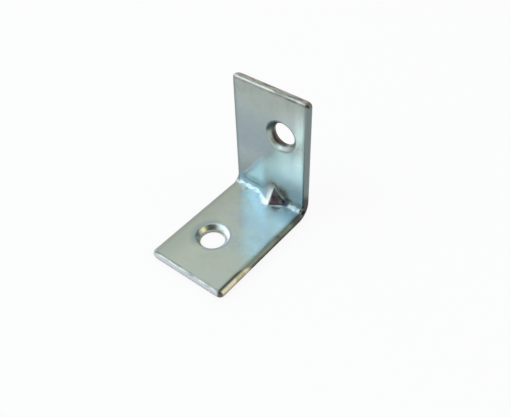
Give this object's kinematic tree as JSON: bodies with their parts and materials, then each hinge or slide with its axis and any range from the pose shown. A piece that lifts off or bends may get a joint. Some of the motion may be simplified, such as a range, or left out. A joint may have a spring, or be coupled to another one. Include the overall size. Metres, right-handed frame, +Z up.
{
  "type": "corner brace",
  "caption": "Small folded steel corner brace with a countersunk screw hole in each leg and a stiffening dart pressed into the fold.",
  "frame": {"origin": "middle of the bounding box at floor level, under the base leg", "axes": "+Z up along the upright, +Y from the base leg's cut end towards the wall face, +X across the strap towards the side of the upright's hole"},
  "size_m": [0.016, 0.025, 0.025],
  "materials": {
    "zinc_plated_steel": "thin mild steel strap, satin zinc plate with a faint blue passivate tint"
  },
  "bodies": {
    "root": {"corner_brace": "zinc_plated_steel"}
  },
  "joints": []
}
